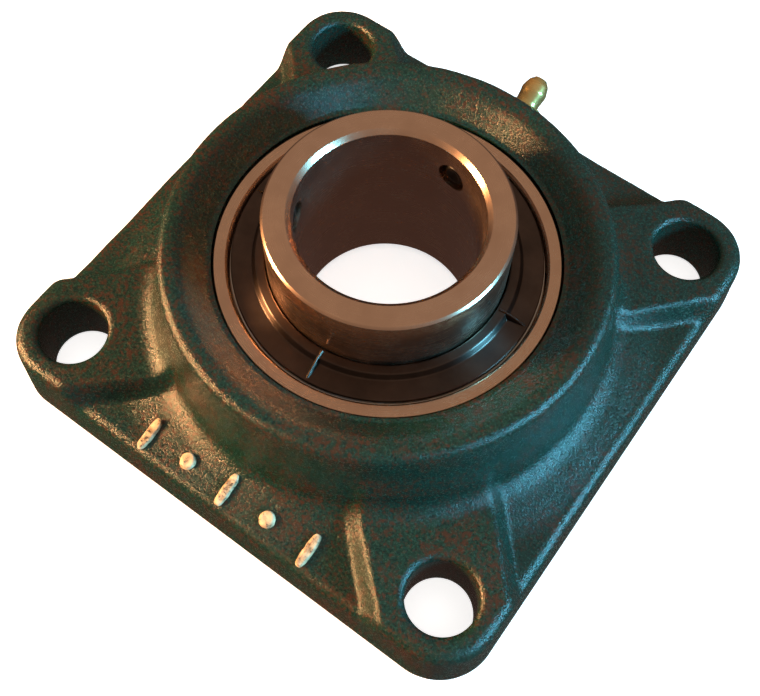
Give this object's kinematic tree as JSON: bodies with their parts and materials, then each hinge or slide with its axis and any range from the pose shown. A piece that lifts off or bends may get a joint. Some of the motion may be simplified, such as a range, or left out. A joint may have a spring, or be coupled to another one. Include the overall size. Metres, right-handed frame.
{
  "type": "flange mount bearing",
  "caption": "Square cast flange housing with a self-aligning ball bearing insert, set screw locking on the shaft and a grease nipple.",
  "frame": {"origin": "middle of the flange's mounting face", "axes": "+Z along the bearing's axis, out of its front; X and Y parallel to the flange's sides, with the grease nipple at +Y"},
  "size_m": [0.117, 0.117, 0.0444],
  "materials": {
    "casting_paint": "coarse sand-cast iron under dark green paint",
    "ring_steel": "ground bearing steel with a warm brown tint",
    "ball_steel": "polished",
    "sheet_steel": "pressed sheet, satin",
    "black_steel": "black oxide, turned, semi-gloss",
    "seal_rubber": "matte",
    "nipple_brass": "turned, slightly dull"
  },
  "bodies": {
    "housing": {"housing": "casting_paint", "grease_nipple": "nipple_brass", "nipple_spring": "sheet_steel"},
    "locking_pin": {"locking_pin": "ring_steel"},
    "outer_ring": {"outer_ring": "ring_steel", "front_seal_core": "sheet_steel", "front_seal_lip": "seal_rubber", "rear_seal_core": "sheet_steel", "rear_seal_lip": "seal_rubber"},
    "inner_ring": {"inner_ring": "ring_steel", "front_flinger": "black_steel", "rear_flinger": "black_steel"},
    "cage": {"cage_front_half": "sheet_steel", "cage_rear_half": "sheet_steel", "cage_rivet_1": "sheet_steel", "cage_rivet_2": "sheet_steel", "cage_rivet_3": "sheet_steel", "cage_rivet_4": "sheet_steel", "cage_rivet_5": "sheet_steel", "cage_rivet_6": "sheet_steel", "cage_rivet_7": "sheet_steel", "cage_rivet_8": "sheet_steel", "cage_rivet_9": "sheet_steel"},
    "set_screw_1": {"set_screw_1": "black_steel"},
    "set_screw_2": {"set_screw_2": "black_steel"},
    "nipple_ball": {"nipple_ball": "ball_steel"},
    "ball_1": {"ball_1": "ball_steel"},
    "ball_2": {"ball_2": "ball_steel"},
    "ball_3": {"ball_3": "ball_steel"},
    "ball_4": {"ball_4": "ball_steel"},
    "ball_5": {"ball_5": "ball_steel"},
    "ball_6": {"ball_6": "ball_steel"},
    "ball_7": {"ball_7": "ball_steel"},
    "ball_8": {"ball_8": "ball_steel"},
    "ball_9": {"ball_9": "ball_steel"}
  },
  "joints": [
    {"name": "insert_pitch", "type": "hinge", "parent": "housing", "child": "locking_pin", "pos_m": [0, 0, 0.019], "axis": [1, 0, 0], "range_deg": [-2.5, 2.5]},
    {"name": "insert_roll", "type": "hinge", "parent": "locking_pin", "child": "outer_ring", "pos_m": [0, 0, 0.019], "axis": [0, 1, 0], "range_deg": [-2.5, 2.5]},
    {"name": "inner_ring_spin", "type": "hinge", "parent": "outer_ring", "child": "inner_ring", "pos_m": [0, 0, 0.019], "axis": [0, 0, 1], "continuous": true},
    {"name": "cage_spin", "type": "hinge", "parent": "outer_ring", "child": "cage", "pos_m": [0, 0, 0.019], "axis": [0, 0, 1], "continuous": true},
    {"name": "ball_1_roll", "type": "hinge", "parent": "cage", "child": "ball_1", "pos_m": [0.02675, 0, 0.019], "axis": [0, 0, 1], "continuous": true},
    {"name": "ball_2_roll", "type": "hinge", "parent": "cage", "child": "ball_2", "pos_m": [0.02049, 0.0172, 0.019], "axis": [0, 0, 1], "continuous": true},
    {"name": "ball_3_roll", "type": "hinge", "parent": "cage", "child": "ball_3", "pos_m": [0.00465, 0.02635, 0.019], "axis": [0, 0, 1], "continuous": true},
    {"name": "ball_4_roll", "type": "hinge", "parent": "cage", "child": "ball_4", "pos_m": [-0.01338, 0.02317, 0.019], "axis": [0, 0, 1], "continuous": true},
    {"name": "ball_5_roll", "type": "hinge", "parent": "cage", "child": "ball_5", "pos_m": [-0.02514, 0.00915, 0.019], "axis": [0, 0, 1], "continuous": true},
    {"name": "ball_6_roll", "type": "hinge", "parent": "cage", "child": "ball_6", "pos_m": [-0.02514, -0.00915, 0.019], "axis": [0, 0, 1], "continuous": true},
    {"name": "ball_7_roll", "type": "hinge", "parent": "cage", "child": "ball_7", "pos_m": [-0.01338, -0.02317, 0.019], "axis": [0, 0, 1], "continuous": true},
    {"name": "ball_8_roll", "type": "hinge", "parent": "cage", "child": "ball_8", "pos_m": [0.00465, -0.02635, 0.019], "axis": [0, 0, 1], "continuous": true},
    {"name": "ball_9_roll", "type": "hinge", "parent": "cage", "child": "ball_9", "pos_m": [0.02049, -0.0172, 0.019], "axis": [0, 0, 1], "continuous": true},
    {"name": "set_screw_1_drive", "type": "slide", "parent": "inner_ring", "child": "set_screw_1", "axis": [-0.1219, -0.9925, 0], "range_m": [0, 0.002]},
    {"name": "set_screw_2_drive", "type": "slide", "parent": "inner_ring", "child": "set_screw_2", "axis": [0.9205, 0.3907, 0], "range_m": [0, 0.002]},
    {"name": "nipple_ball_press", "type": "slide", "parent": "housing", "child": "nipple_ball", "axis": [0, -0.866, -0.5], "range_m": [0, 0.0008], "stiffness_N_per_m": 200, "springref_m": -0.001, "deforming": ["nipple_spring"]}
  ],
  "couplings": [
    {"joint": "cage_spin", "follows": "inner_ring_spin", "ratio": 0.39616},
    {"joint": "ball_1_roll", "follows": "inner_ring_spin", "ratio": -2.3037},
    {"joint": "ball_2_roll", "follows": "inner_ring_spin", "ratio": -2.3037},
    {"joint": "ball_3_roll", "follows": "inner_ring_spin", "ratio": -2.3037},
    {"joint": "ball_4_roll", "follows": "inner_ring_spin", "ratio": -2.3037},
    {"joint": "ball_5_roll", "follows": "inner_ring_spin", "ratio": -2.3037},
    {"joint": "ball_6_roll", "follows": "inner_ring_spin", "ratio": -2.3037},
    {"joint": "ball_7_roll", "follows": "inner_ring_spin", "ratio": -2.3037},
    {"joint": "ball_8_roll", "follows": "inner_ring_spin", "ratio": -2.3037},
    {"joint": "ball_9_roll", "follows": "inner_ring_spin", "ratio": -2.3037}
  ]
}
